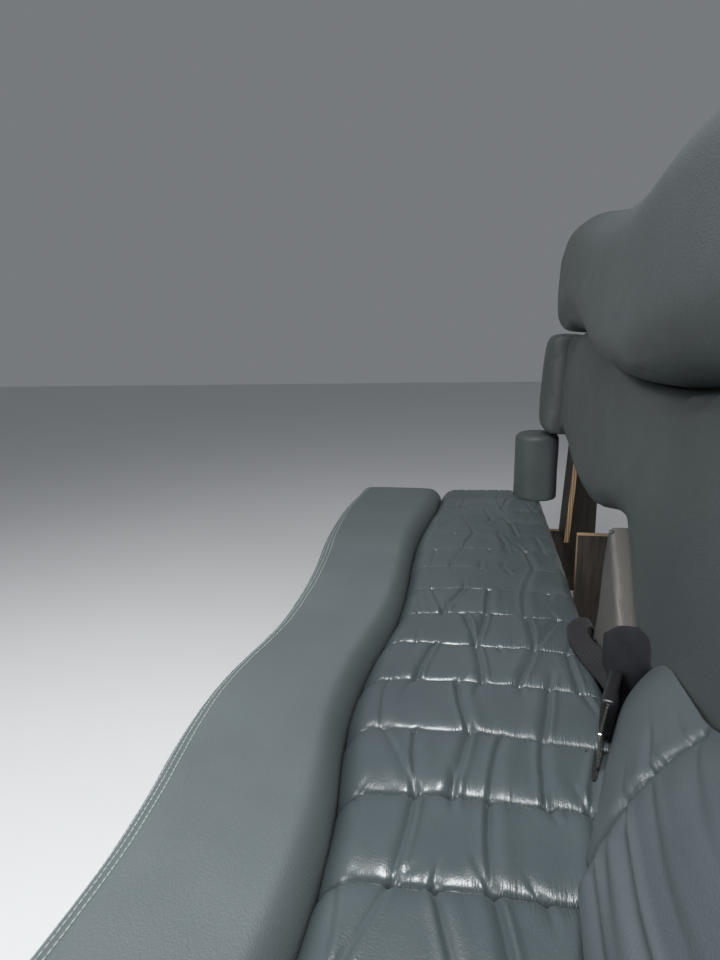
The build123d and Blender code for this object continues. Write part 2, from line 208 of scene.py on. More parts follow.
floor_material, floor_tree, floor_shader = new_material("floor")
feed(floor_tree, floor_shader, Roughness=0.9)
print("a new material has", len(floor_tree.nodes), "nodes")

# %% [markdown]
# ## Noise and colours
#
# No real surface is one flat colour, so every finish here reads some noise. The noise is laid out in
# object coordinates, which need no unwrapping, and its values are spread over the range that is
# wanted. The floor shows the first use, as a tone that drifts very slightly.

# %% Blend noise and colours
def mapped(tree, scale=(1, 1, 1), kind="Object"):
    """Object or UV coordinates, stretched by a scale."""
    coordinates = tree.nodes.new("ShaderNodeTexCoord").outputs[kind]
    return node(tree, "ShaderNodeMapping", Vector=coordinates, Scale=scale).outputs["Vector"]


def noise_at(tree, vector, scale, detail=3.0, roughness=0.5):
    """Noise read at a vector."""
    settings = {"Scale": scale, "Detail": detail, "Roughness": roughness}
    return node(tree, "ShaderNodeTexNoise", Vector=vector, **settings).outputs["Fac"]


def spread(tree, value, low, high, out_low, out_high):
    """Map a range of a value on to another range, clamped."""
    limits = {"From_Min": low, "From_Max": high, "To_Min": out_low, "To_Max": out_high}
    return node(tree, "ShaderNodeMapRange", Value=value, **limits).outputs["Result"]


def blend_colours(tree, share, first, second):
    """Mix two colours, each a socket or a plain colour, by a share."""
    mix = tree.nodes.new("ShaderNodeMix")
    mix.data_type = "RGBA"
    tree.links.new(share, mix.inputs["Factor"])
    for colour, socket in ((first, mix.inputs[6]), (second, mix.inputs[7])):
        connect(tree, (*colour, 1) if isinstance(colour, tuple) else colour, socket)
    return mix.outputs[2]


floor_noise = noise_at(floor_tree, mapped(floor_tree), 2.0, 2.0)
floor_tone = blend_colours(floor_tree, floor_noise, (0.70, 0.71, 0.72), (0.74, 0.75, 0.76))
feed(floor_tree, floor_shader, Base_Color=floor_tone)
print("the floor's material now has", len(floor_tree.nodes), "nodes")

# %% [markdown]
# ## The pebble grain of leather
#
# All the leather on the bench is one slate hide, printed with a grain of small pebbles. A picture of
# the grain would have to be laid out on each piece, while cells in object coordinates fit every
# shape. A finer noise pushes the cells about, because even cells look like plastic.

# %% Build the grain
grain_scale = 620.0
grain_push = 0.004


def calculate(tree, operation, first, second=0.0):
    """One sum of two values, each a socket or a number."""
    maths = tree.nodes.new("ShaderNodeMath")
    maths.operation = operation
    connect(tree, first, maths.inputs[0])
    connect(tree, second, maths.inputs[1])
    return maths.outputs["Value"]


def attribute_value(tree, name):
    """The number that a piece stores on its vertices."""
    reader = tree.nodes.new("ShaderNodeAttribute")
    reader.attribute_name = name
    return reader.outputs["Fac"]


def pebbles(tree, vector, seamed):
    """Height of the grain, stretched smooth near seams if the piece has them."""
    push = node(tree, "ShaderNodeTexNoise", Vector=vector, Scale=140.0, Detail=2.0)
    pushed = tree.nodes.new("ShaderNodeVectorMath")
    pushed.operation = "MULTIPLY_ADD"
    for value, socket in zip((push.outputs["Color"], (grain_push,) * 3, vector), pushed.inputs):
        connect(tree, value, socket)
    cells = node(tree, "ShaderNodeTexVoronoi", Vector=pushed.outputs["Vector"], Scale=grain_scale)
    cells.feature = "SMOOTH_F1"
    height = spread(tree, cells.outputs["Distance"], 0.15, 0.75, 1.0, 0.0)
    if seamed:
        kept = spread(tree, attribute_value(tree, "seam"), 0.0, 0.5, 1.0, 0.3)
        height = calculate(tree, "MULTIPLY", height, kept)
    return height


print("a pebble is about", round(1000 / grain_scale, 1), "mm wide")

# %% [markdown]
# ## Leather near seams and stitches
#
# Near a seam the hide is drawn tight: it shines more and puckers across the seam, and its fold is
# painted darker as painted shade. Two numbers on each vertex steer this. "seam" says how near a seam or
# fold is, and
# "pucker" how hard the hide is drawn up. On the bolster a third one, "rim", is the distance from
# its front edge, and each row of thread presses a groove at a set distance.

# %% Draw the leather to its seams
stitch_rows = (0.008, 0.016, 0.024)
groove_half_width, groove_depth = 0.0022, 0.0008
pucker_depth = 0.0030


def bumped(tree, height, distance, under=None):
    """A bump from a height in metres, over another bump if one is given."""
    bump = node(tree, "ShaderNodeBump", Height=height, Distance=distance, Strength=1.0)
    if under is not None:
        tree.links.new(under, bump.inputs["Normal"])
    return bump.outputs["Normal"]


def near_seams(tree, dark, colour, gloss, normal):
    """Painted shade, more gloss and puckers near seams and pleat valleys."""
    nearness = attribute_value(tree, "seam")
    # Painted shade: the colour darkens towards a deep tone of the dark leather in seams and valleys.
    painted_seam_shade = spread(tree, nearness, 0.55, 1.0, 0.0, 0.55)
    colour = blend_colours(tree, painted_seam_shade, colour, tuple(0.45 * c for c in dark))
    gloss = calculate(tree, "SUBTRACT", gloss, spread(tree, nearness, 0.1, 0.7, 0.0, 0.09))
    streaks = noise_at(tree, mapped(tree, (30, 420, 30)), 1.0)
    drawn = calculate(tree, "MULTIPLY", streaks, attribute_value(tree, "pucker"))
    return colour, gloss, bumped(tree, drawn, pucker_depth, normal)


def under_stitches(tree, normal):
    """A groove under each row of thread."""
    rim = attribute_value(tree, "rim")
    for row in stitch_rows:
        away = calculate(tree, "ABSOLUTE", calculate(tree, "SUBTRACT", rim, row))
        groove = spread(tree, away, 0.0, groove_half_width, 0.0, 1.0)
        normal = bumped(tree, groove, groove_depth, normal)
    return normal


print("stitch grooves lie", ", ".join(f"{1000 * row:.0f}" for row in stitch_rows), "mm from the edge")

# %% [markdown]
# ## The leathers
#
# Each piece gets its own tones of the one hide. Its colour drifts slowly from dark to light, pale scuffs
# are scattered on it, and its gloss varies where it has been rubbed. The cushion is the darkest
# and shiniest piece, the bolster the palest and dullest. The jamb's warm tan is painted warm light,
# and the ledge's near-black is painted shade. So one function makes them all, each with
# its own two colours, roughness, depth of grain and shine.

# %% Mix the slate leathers
def leather(name, dark, light, roughness, grain=0.0002, seamed=False, stitched=False, shine=0.5):
    """Slate leather between two colours."""
    material, tree, shader = new_material(name)
    vector = mapped(tree)
    drift = spread(tree, noise_at(tree, vector, 3.0), 0.30, 0.70, 0.0, 1.0)
    scuffs = noise_at(tree, mapped(tree, (1.0, 1.6, 1.3)), 55.0, 5.0, 0.7)
    scuffs = spread(tree, scuffs, 0.66, 0.78, 0.0, 0.35)
    colour = blend_colours(tree, drift, dark, light)
    colour = blend_colours(tree, scuffs, colour, tuple(1.7 * c for c in light))
    rubbed = noise_at(tree, vector, 17.0, 4.0, 0.6)
    gloss = spread(tree, rubbed, 0.3, 0.7, roughness - 0.06, roughness + 0.07)
    creases = noise_at(tree, mapped(tree, (26, 34, 30)), 3.0, 4.0, 0.55)
    normal = bumped(tree, pebbles(tree, vector, seamed), grain)
    normal = bumped(tree, creases, 0.00016, normal)
    if seamed:
        colour, gloss, normal = near_seams(tree, dark, colour, gloss, normal)
    if stitched:
        normal = under_stitches(tree, normal)
    feed(tree, shader, Base_Color=colour, Roughness=gloss, Normal=normal, Specular_IOR_Level=shine)
    print(name, "has", len(tree.nodes), "nodes")
    return material


bolster_leather = leather(
    "bolster_leather", (0.100, 0.122, 0.128), (0.127, 0.153, 0.159), 0.50, stitched=True
)
channel_leather = leather(
    "channel_leather", (0.050, 0.066, 0.073), (0.080, 0.102, 0.110), 0.34, 0.00015, seamed=True, shine=0.75
)
back_leather = leather("back_leather", (0.058, 0.069, 0.070), (0.081, 0.096, 0.096), 0.46)
roll_leather = leather(
    "roll_leather", (0.064, 0.080, 0.088), (0.096, 0.117, 0.127), 0.38, seamed=True, shine=0.65
)
# Near-black painted shade: the ledge and its fold sit where shade falls in the crevice.
ledge_leather = leather("ledge_leather", (0.010, 0.011, 0.014), (0.019, 0.020, 0.025), 0.50)
# Warm tan painted light: the back's slate hide as warm light from the opening shows it.
warm_lit_jamb_leather = leather("warm_lit_jamb_leather", (0.090, 0.086, 0.078), (0.150, 0.142, 0.126), 0.50)

# %% [markdown]
# ## The front bolster: its foam
#
# The bolster is a long firm roll of foam in a smooth cover. A cloth simulation would blur its firm
# rim, so it starts as a box whose rounded edges are bevels. Its long edges are then cut finely
# enough to bend into the waves. The first helpers for shapes come with it.

# %% Cut the bolster from a box
bolster_height = 0.100
bolster_round = 0.030
nominal_depth = 0.190


def rounded_box(size, centre, offset, segments, kept=lambda edge: True):
    """A box with chosen edges beveled."""
    bm = bmesh.new()
    bmesh.ops.create_cube(bm, size=1.0, matrix=Matrix.Translation(centre) @ Matrix.Diagonal((*size, 1)))
    chosen = [edge for edge in bm.edges if kept(edge)]
    bmesh.ops.bevel(
        bm, geom=chosen, offset=offset, offset_type="OFFSET", segments=segments,
        profile=0.5, affect="EDGES", material=-1, clamp_overlap=True,
    )
    return bm


def is_upper_or_front(edge):
    """Whether an edge is one of the four upper ones, or the lower one at the front."""
    first, second = (vertex.co for vertex in edge.verts)
    above = first.z > 0 and second.z > 0
    return above or (first.y < 0 and second.y < 0 and abs(first.z - second.z) < 1e-6)


def cut_along(bm, axis, longer_than, cuts):
    """Cut the edges that run along one axis and are longer than a length."""
    chosen = []
    for edge in bm.edges:
        run = edge.verts[1].co - edge.verts[0].co
        if abs(run[axis]) > longer_than and abs(run[axis]) > 0.99 * run.length:
            chosen.append(edge)
    bmesh.ops.subdivide_edges(bm, edges=chosen, cuts=cuts, use_grid_fill=True)


bolster_size = Vector((length, nominal_depth, bolster_height))
bm = rounded_box(bolster_size, Vector((0, 0, 0)), bolster_round, 9, is_upper_or_front)
cut_along(bm, 0, 1.0, 429)
cut_along(bm, 1, 0.1, 17)
print("bolster vertices:", len(bm.verts))

# %% [markdown]
# ## From a bmesh to a piece
#
# Most pieces start as a box or a grid, and then every vertex is moved by a formula. Looping over
# vertices in Python is slow and hard to read, so the places are read into an array, moved all at
# once and written back. The finished bmesh becomes a piece that rides on the bench.

# %% Read and move points, and add a piece
def points_of(bm):
    """All vertex places as an array of rows."""
    return np.array([v.co for v in bm.verts])


def place_points(bm, places):
    """Move each vertex to its row of the array."""
    for vertex, place in zip(bm.verts, places):
        vertex.co = place


def rough(places, scale, seed):
    """Smooth noise from -1 to 1 at each row of an array of places."""
    shift = Vector((seed * 7.3, seed * 3.1, seed * 1.7))
    return np.array([noise.noise(Vector(p) * scale + shift) for p in places])


def add_piece(bm, name, material, slot, *stands_for):
    """Make a bmesh a piece of the bench and hide the solids it stands for."""
    mesh = bpy.data.meshes.new(name)
    bm.to_mesh(mesh)
    bm.free()
    mesh.polygons.foreach_set("use_smooth", [True] * len(mesh.polygons))
    mesh.materials.append(material)
    piece = bpy.data.objects.new(name, mesh)
    scene.collection.objects.link(piece)
    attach(piece, "root")
    if stands_for:
        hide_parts(*stands_for)
    print(name, "faces:", len(mesh.polygons))
    return piece


def add_attribute(piece, name, values):
    """Store one number on each vertex for a material to read."""
    attribute = piece.data.attributes.new(name, "FLOAT", "POINT")
    attribute.data.foreach_set("value", np.asarray(values, np.float32))


places = points_of(bm)
print("read", len(places), "places of the bolster")

# %% [markdown]
# ## The front bolster: its waves
#
# Sculpting the waves by hand would leave them uneven, so each vertex slides to its share of the way
# between the two waves. The top swells and is let down into the seam behind, and a slow noise
# makes it look filled.

# %% Bend and crown the bolster
bolster_crown = 0.004
seam_drop = 0.016
face_bulge = 0.004

x, across, height = places[:, 0], places[:, 1] / nominal_depth + 0.5, places[:, 2] + bolster_height / 2
across_share, up_share = np.clip(across, 0, 1), np.clip(height / bolster_height, 0, 1)
end_share = np.clip((half_length - np.abs(x)) / 0.05, 0, 1)
crown = bolster_crown * np.sin(math.pi * across_share) ** 0.6 * end_share
seam_fall = seam_drop * np.clip((across_share - 0.86) / 0.14, 0, 1) ** 2
ripple = 0.0016 * rough(places * (1, 0.5, 0.5), 7.0, 2) + 0.0008 * rough(places, 23.0, 3)
bulge = face_bulge * np.sin(math.pi * up_share) * (across_share < 0.3)
rim_y = wave_y(front_turns, x)
new_y = rim_y + across * (wave_y(seam_turns, x) - soft_clearance - rim_y) - bulge
new_z = deck_top_z + height + up_share**2 * (crown - seam_fall + ripple)
place_points(bm, np.column_stack((x, new_y, new_z)))
bm.normal_update()
bolster_tree = BVHTree.FromBMesh(bm)
bolster = add_piece(bm, "front_bolster_leather", bolster_leather, "bolster_leather", "front_bolster")
add_attribute(bolster, "rim", new_y - rim_y + bulge)

# %% [markdown]
# ## Thread
#
# Pale thread is twisted, and the shade in the grooves of its twist is painted as darker bands round it. A
# curve with a bevel could be the thread, but each stitch shows by itself, so a stitch is a small bead
# drawn out along the edge.
# Six sides are enough for a bead two millimetres thick.

# %% Spin the thread
thread_colour = (0.38, 0.43, 0.42)
thread_radius = 0.0010
stitch_length = 0.0064

thread, tree, shader = new_material("thread")
twist = node(tree, "ShaderNodeTexWave", Vector=mapped(tree), Scale=900.0, Distortion=1.5).outputs["Fac"]
# Painted shade: darker bands where the twist of the thread dips.
twist_shade_bands = blend_colours(tree, twist, tuple(0.7 * c for c in thread_colour), thread_colour)
feed(tree, shader, Base_Color=twist_shade_bands, Roughness=0.75)

shape = Matrix.Diagonal((stitch_length / 2, thread_radius, thread_radius * 0.8, 1))
bm = bmesh.new()
bmesh.ops.create_uvsphere(
    bm, u_segments=6, v_segments=4, radius=1.0, matrix=shape @ Matrix.Rotation(math.pi / 2, 4, "Y")
)
bead = bpy.data.meshes.new("bead")
bm.to_mesh(bead)
bm.free()
print("one bead has", len(bead.polygons), "faces")

# %% [markdown]
# ## Top stitching
#
# Three rows of thread hold the bolster's facing down. The beads could be instances along a curve,
# but they have to sit on the bent leather. So at each place a ray is dropped on to the bolster, and
# a copy of the bead is turned to the surface that it hits, half sunk in it.

# %% Sew the three rows
stitch_pitch = 0.0062
row_margin = 0.012
look_ahead = 0.002


def on_bolster(station, row):
    """Where a ray dropped beside the front edge meets the leather, and the way it faces there."""
    start = Vector((station, float(wave_y(front_turns, station)) + row, 1.0))
    hit, normal, _, _ = bolster_tree.ray_cast(start, Vector((0, 0, -1)))
    return hit, normal


bm = bmesh.new()
for row in stitch_rows:
    station = -half_length + row_margin
    while station < half_length - row_margin:
        hit, normal = on_bolster(station, row)
        along = (on_bolster(station + look_ahead, row)[0] - hit).normalized()
        turn = Matrix((along, normal.cross(along).normalized(), normal)).transposed().to_4x4()
        stitch = bead.copy()
        stitch.transform(Matrix.Translation(hit) @ turn)
        bm.from_mesh(stitch)
        bpy.data.meshes.remove(stitch)
        station += stitch_pitch
add_piece(bm, "bolster_stitching", thread, "bolster_leather")

# %% [markdown]
# ## The ruched cushion: planning its pleats
#
# The cushion's cover is cut wider than the seat and gathered on to seams every 102 mm, so each
# channel puffs up between two seams and its slack falls into pleats. Cloth can fold like this by
# itself, but not in the time that a lesson has, so the pleats are planned: pinch points along every
# seam, and pleats that join two of them or die out on the way.

# %% Plan the pinch points and pleats
channel_count = 21
channel_pitch = length / channel_count

rule = random.Random(11)
pinches = []
for seam in range(channel_count + 1):
    share, row = rule.uniform(0.05, 0.16), []
    while share < 0.95:
        row.append(share)
        share += rule.uniform(0.09, 0.20)
    pinches.append(row)

pleats = []  # seam, way, start, finish, reach, depth at the start, depth at the finish, lean
for seam in range(channel_count + 1):
    for share in pinches[seam]:
        calm = 0.25 + 0.75 * min(1.0, share / 0.35)
        if seam < channel_count:
            goal = share + rule.uniform(-0.10, 0.10)
            mate = min(pinches[seam + 1], key=lambda other: abs(other - goal))
            linked = rule.random() < 0.55 and abs(mate - share) < 0.14
            reach = 1.0 if linked else rule.uniform(0.25, 0.55)
            finish = mate if linked else share + (goal - share) * reach
            far_depth = calm * rule.uniform(0.5, 1.0) if linked else 0.0
            near_depth = calm * rule.uniform(0.5, 1.0)
            pleats.append((seam, 1, share, finish, reach, near_depth, far_depth, rule.uniform(-0.8, 0.8)))
        if seam > 0 and rule.random() < 0.6:
            reach = rule.uniform(0.2, 0.45)
            finish = share + rule.uniform(-0.07, 0.07)
            near_depth = calm * rule.uniform(0.5, 1.0)
            pleats.append((seam, -1, share, finish, reach, near_depth, 0.0, rule.uniform(-0.8, 0.8)))
print("pinch points:", sum(len(row) for row in pinches), "pleats:", len(pleats))

# %% [markdown]
# ## The ruched cushion: one pleat
#
# Pulled leather folds into a sharp valley with a crisp ridge close beside it and a soft swell on the
# other side. A smooth bump on both sides would look like a dent in rubber. Two small functions of
# the distance from the pleat's line give this section, and the foot roll uses them again.

# %% Shape the section of a pleat
shoulder_reach = 0.0120


def fold_valley(gap, width):
    """The sharp valley of a pleat at a distance from its line."""
    return np.exp(-((np.abs(gap) / width) ** 1.15))


def fold_shoulders(gap, lean):
    """A crisp ridge close beside a pleat on one side, and a soft swell on its other side."""
    gap = np.where(lean < -0.3, -gap, gap)
    swell = np.exp(-(((gap + shoulder_reach) / (0.8 * shoulder_reach)) ** 2)) * (1 + 0.5 * abs(lean))
    ridge = np.exp(-(((gap - 0.50 * shoulder_reach) / (0.36 * shoulder_reach)) ** 2))
    return 0.36 * swell + 0.62 * ridge


trial = np.linspace(-0.03, 0.03, 601)
section = fold_shoulders(trial, 0.5) - fold_valley(trial, 0.0028)
print("a pleat's section runs from", round(float(section.min()), 2), "to", round(float(section.max()), 2))

# %% [markdown]
# ## The ruched cushion: all its pleats
#
# Each pleat is a bent line from one seam towards the next. Going through every vertex for every pleat
# would be slow, so each pleat first picks the vertices near it and only raises those. Pleats are
# calmer at the far end and right at the seams, where the thread holds the leather down.

# %% Add up the pleats
pleat_depth = 0.0062
pleat_width = 0.0028
pleat_side = 0.045


def pleat_relief(x, y, depth_here):
    """Rise and fall of all the pleats at places on the cushion, and how deep in a valley each is."""
    relief, valleys = np.zeros(len(x)), np.zeros(len(x))
    for seam, way, start, finish, reach, near_depth, far_depth, lean in pleats:
        run = (x + half_length - seam * channel_pitch) * way / channel_pitch
        close = np.nonzero((run > -0.06) & (run < reach + 0.04))[0]
        t = np.clip(run[close] / reach, 0, 1)
        path = start + (finish - start) * t + 0.012 * lean * np.sin(math.pi * t)
        gap = y[close] - path * depth_here[close]
        beside = np.abs(gap) < pleat_side
        close, t, gap = close[beside], t[beside], gap[beside]
        depth = near_depth * (1 - t) ** 1.1 + far_depth * t**1.1
        depth = depth * np.clip((run[close] + 0.06) / 0.06, 0, 1) * pleat_depth
        depth = depth * (0.65 + 0.35 * np.clip((x[close] + 0.8) / 0.5, 0, 1))
        valley = fold_valley(gap, pleat_width * (1 + 0.9 * t))
        from_seam = np.minimum(np.abs(run[close]), np.abs(1 - run[close])) * channel_pitch
        risen = 0.40 + 0.60 * np.clip(from_seam / 0.016, 0, 1)
        relief[close] += depth * (fold_shoulders(gap, lean) * risen - valley)
        valleys[close] = np.maximum(valleys[close], valley * depth / pleat_depth)
    return relief, valleys


print("deepest pleat:", round(1000 * pleat_depth * max(pleat[5] for pleat in pleats), 1), "mm")

# %% [markdown]
# ## The ruched cushion: its channels
#
# One fine grid covers the whole seat, and its columns crowd towards the seams, where the leather
# turns most sharply. A channel's section is steep at its far seam and round at its near one, as
# the stuffing has crept with use. The pleats, a slow noise and falls at all four edges are added.

# %% Puff the channels
groove_z = deck_top_z + 0.074
crest_z = deck_top_z + 0.092
cushion_rear_y = front_y + 0.516
crown_rise = 0.008
front_drop, rear_drop, end_drop = 0.030, 0.034, 0.030
far_power, near_power = 5.0, 3.0

bm = bmesh.new()
bmesh.ops.create_grid(bm, x_segments=channel_count * 32, y_segments=184, size=0.5)
places = points_of(bm)
along, across = places[:, 0] + 0.5, places[:, 1] + 0.5
crowd = 0.5 * np.sin(2 * math.pi * along * channel_count) / (2 * math.pi * channel_count)
x = (along - crowd - 0.5) * length
seat_front = wave_y(seam_turns, x) + soft_clearance
seat_depth = cushion_rear_y - seat_front
y = across * seat_depth

flat = np.column_stack((x, y, np.zeros(len(x))))
channel = (x + half_length + 0.0022 * rough(flat, 22.0, 5)) / channel_pitch
u = np.clip(channel - np.floor(np.clip(channel, 0, channel_count - 1e-9)), 0, 1)
seam_distance = np.minimum(u, 1 - u) * channel_pitch

power = np.where(u < 0.5, far_power, near_power)
profile = (1 - np.abs(2 * u - 1) ** power) ** (1 / power)
body = groove_z + (crest_z - groove_z) * profile * (1 + 0.22 * rough(flat, 9.0, 6))
cross_crown = crown_rise * (1 - (2 * across - 1) ** 2)
front_fall = front_drop * np.clip(1 - y / 0.040, 0, 1) ** 2.6
rear_fall = rear_drop * np.clip(1 - (seat_depth - y) / 0.030, 0, 1) ** 2.3
end_fall = end_drop * np.clip(1 - (half_length - np.abs(x)) / 0.020, 0, 1) ** 2.3
seam_cut = 0.0015 * np.exp(-((seam_distance / 0.0030) ** 2))
relief, valleys = pleat_relief(x, y, seat_depth)
relief += 0.0005 * rough(flat, 30.0, 8)
height = body + cross_crown + relief - front_fall - rear_fall - end_fall - seam_cut
place_points(bm, np.column_stack((x, seat_front + y, height)))
print("cushion top between", round(float(height.min()), 3), "and", round(float(height.max()), 3), "m")

# %% [markdown]
# ## The ruched cushion: closing it
#
# The grid is only a top, and the real cushion is a closed body on the deck. Its rim is extruded
# straight down to the deck, and the hole that is left there is filled. The nearness of seams
# and the strength of the puckers are stored for the leather to read.

# %% Close the cushion
def close_rims(bm):
    """Fill every open rim and turn all faces outward."""
    bmesh.ops.holes_fill(bm, edges=[edge for edge in bm.edges if edge.is_boundary], sides=0)
    bmesh.ops.recalc_face_normals(bm, faces=bm.faces)


rim = [edge for edge in bm.edges if edge.is_boundary]
for part in bmesh.ops.extrude_edge_only(bm, edges=rim)["geom"]:
    if isinstance(part, bmesh.types.BMVert):
        part.co.z = deck_top_z
close_rims(bm)
skirt = np.zeros(len(bm.verts) - len(x))
cushion = add_piece(bm, "ruched_cushion", channel_leather, "channel_leather", "channel_cushion")
# The "seam" number also holds the pleat valleys, where the leather paints shade.
seam_nearness = np.maximum(np.exp(-seam_distance / 0.009), 0.85 * valleys)
pucker = np.exp(-seam_distance / 0.010) * (0.12 + 0.88 * np.clip((across - 0.35) / 0.35, 0, 1))
add_attribute(cushion, "seam", np.concatenate((seam_nearness, skirt)))
add_attribute(cushion, "pucker", np.concatenate((pucker, skirt)))

# %% [markdown]
# ## The back: a soft start from the solids
#
# The back is padded board that leans by 3.5 degrees. Its pads have outlines that the solids already
# hold, so they aren't drawn again: each solid is remeshed in small even quads and its edges are
# rubbed round. Even quads are also what a cloth simulation needs.

# %% Remesh a solid
recline = math.radians(3.5)
seat_level_z = 0.285
pad_foot_depth = 0.525
lower_pad_thickness = 0.050
board_front_y = front_y + pad_foot_depth + lower_pad_thickness / math.cos(recline)


def board_y(z, ahead=0.0):
    """How far back the board's front lies at a height, or a face ahead of it."""
    return board_front_y + (z - seat_level_z) * math.tan(recline) - ahead / math.cos(recline)


def applied_mesh(piece):
    """The mesh of a piece with its modifiers applied."""
    evaluated = piece.evaluated_get(bpy.context.evaluated_depsgraph_get())
    return bpy.data.meshes.new_from_object(evaluated)


def move_points(piece, places):
    """Move the vertices of a finished piece."""
    piece.data.vertices.foreach_set("co", places.astype(np.float32).ravel())


def remeshed(node_name, name, material, slot, voxel, rounds):
    """A piece remeshed from its solid, with its vertices' places and normals."""
    bm = bmesh.new()
    bm.from_mesh(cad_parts[node_name].data)
    bmesh.ops.remove_doubles(bm, verts=bm.verts, dist=0.0001)
    piece = add_piece(bm, name, material, slot, node_name)
    remesh = piece.modifiers.new("remesh", "REMESH")
    remesh.mode, remesh.voxel_size = "VOXEL", voxel
    piece.modifiers.new("smooth", "SMOOTH").iterations = rounds
    piece.data = applied_mesh(piece)
    piece.modifiers.clear()
    piece.data.polygons.foreach_set("use_smooth", [True] * len(piece.data.polygons))
    vertices = piece.data.vertices
    places, normals = (np.array([getattr(v, kind) for v in vertices]) for kind in ("co", "normal"))
    return piece, places, normals


print("the board leans back", round(1000 * float(board_y(cad_high.z) - board_y(seat_level_z))), "mm")

# %% [markdown]
# ## The back: a short cloth run
#
# A padded cover is a skin that its filling pushes outward. Blender's cloth can do just that: with a
# little pressure, no gravity and the back of the pad pinned, twenty frames are enough to plump it.
# The result is read off and the modifier removed, so that nothing is left to simulate.

# %% Run a pad as cloth
pressure, frame_count = 4.0, 20


def blown_up(piece, pinned):
    """Where the vertices of a piece come to lie in a short cloth run under pressure."""
    pins = piece.vertex_groups.new(name="pins")
    pins.add([int(i) for i in np.nonzero(pinned)[0]], 1.0, "REPLACE")
    cloth = piece.modifiers.new("cloth", "CLOTH")
    cloth.settings.quality = 4
    cloth.settings.vertex_group_mass = "pins"
    cloth.settings.effector_weights.gravity = 0
    cloth.settings.use_pressure = True
    cloth.settings.uniform_pressure_force = pressure
    cloth.point_cache.frame_start, cloth.point_cache.frame_end = 1, frame_count
    for step in range(1, frame_count + 1):
        scene.frame_set(step)
    swollen = np.array([v.co for v in applied_mesh(piece).vertices])
    piece.modifiers.clear()
    piece.vertex_groups.clear()
    return swollen


print("cloth runs for", frame_count, "frames at a pressure of", pressure)

# %% [markdown]
# ## The back: its three puffed pads
#
# The lower pad hangs in a lobe over an opening, the upper pad is a fat bolster, and a block fills
# the corner. Each starts a little slim, because it swells. How far a point may travel is capped
# softly, which keeps the pad in the room that its solid has.

# %% Puff the back pads
outward = np.array((0, -math.cos(recline), math.sin(recline)))


def puff(node_name, name, voxel, shrink, cap):
    """Make a pad from its solid, plumped up by cloth."""
    piece, start, normals = remeshed(node_name, name, back_leather, "back_leather", voxel, 4)
    behind = np.clip((start[:, 1] - board_y(start[:, 2]) + 0.012) / 0.006, 0, 1)
    start = start - np.outer(np.clip(normals @ outward, 0, 1) * shrink * (1 - behind), outward)
    move_points(piece, start)
    travel = blown_up(piece, behind > 0.5) - start
    distance = np.linalg.norm(travel, axis=1) + 1e-9
    print(name, "travelled up to", round(float(distance.max()) * 1000, 1), "mm")
    move_points(piece, start + travel * (cap * np.tanh(distance / cap) / distance)[:, None])
    finer = piece.modifiers.new("finer", "SUBSURF")
    finer.levels = finer.render_levels = 1


# solid, piece, voxel size, how much slimmer it starts, cap on its travel
puff("upper_back_pad", "upper_pad", 0.009, 0.005, 0.012)
puff("lower_back_pad", "lower_pad", 0.009, 0.004, 0.008)
puff("corner_pad", "corner_block", 0.008, 0.004, 0.010)

# %% [markdown]
# ## The leaf on the jamb
#
# A leaf of padding ends the opening under the back. Its leather is the back's slate hide, painted
# warm tan as painted light from the opening. It is small and firm, so it needs no puffing: a
# remesh with its corners smoothed looks like leather pulled over foam, and a slow noise stops it
# from looking moulded. Two more pieces are made the same way below.

# %% Soften the leaf
def soften(node_name, name, material, slot, voxel, rounds, unevenness):
    """Make a soft piece from its solid, with its edges rubbed round."""
    piece, places, normals = remeshed(node_name, name, material, slot, voxel, rounds)
    move_points(piece, places + normals * (unevenness * rough(places, 14.0, 9))[:, None])


# The leaf's warm tan is painted light from the opening.
soften("bay_jamb", "jamb_leaf", warm_lit_jamb_leather, "back_leather", 0.0035, 10, 0.0015)

# %% [markdown]
# ## Piping
#
# A piped edge is a strip of leather sewn round a cord. A curve with a bevel depth would give it, but
# extruding a ring of edges keeps it plain mesh from the start. The ring is lifted step by step
# up the leaf's far edge, and sways a little as a hand-sewn piping does.

# %% Pipe the leaf's far edge
leaf_low, leaf_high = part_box("bay_jamb")
leaf_stand = 0.062
piping_radius = 0.0035
piping_steps = 40
foot_z, top_z = leaf_low.z + 0.003, leaf_high.z - 0.006
rise = (top_z - foot_z) / piping_steps

bm = bmesh.new()
bmesh.ops.create_circle(bm, cap_ends=False, segments=14, radius=piping_radius)
bmesh.ops.rotate(bm, verts=bm.verts, cent=(0, 0, 0), matrix=Matrix.Rotation(-recline, 3, "X"))
foot = (leaf_low.x + piping_radius * 0.6, board_y(foot_z, leaf_stand), foot_z)
bmesh.ops.translate(bm, verts=bm.verts, vec=foot)
ring = list(bm.edges)
for step in range(1, piping_steps + 1):
    drawn = bmesh.ops.extrude_edge_only(bm, edges=ring)["geom"]
    lifted = [part for part in drawn if isinstance(part, bmesh.types.BMVert)]
    ring = [part for part in drawn if isinstance(part, bmesh.types.BMEdge) and part.is_boundary]
    sway = 0.0006 * math.sin(9.0 * step / piping_steps)
    bmesh.ops.translate(bm, verts=lifted, vec=(sway, rise * math.tan(recline), rise))
close_rims(bm)
add_piece(bm, "leaf_piping", back_leather, "back_leather")

# %% [markdown]
# ## Corner roll and ledge
#
# An upright roll fills the far corner, and a dark ledge closes the gap between the cushion and the
# back; its near-black is painted shade of that crevice. Both are plain firm shapes in the solids
# already, so they are softened as the leaf was. The roll is finer and rounder, since it stands in full
# view.

# %% Soften the roll and the ledge
soften("corner_roll", "corner_upright_roll", back_leather, "back_leather", 0.004, 8, 0.0015)
soften("ledge", "filler_ledge", ledge_leather, "ledge_leather", 0.006, 6, 0.0010)

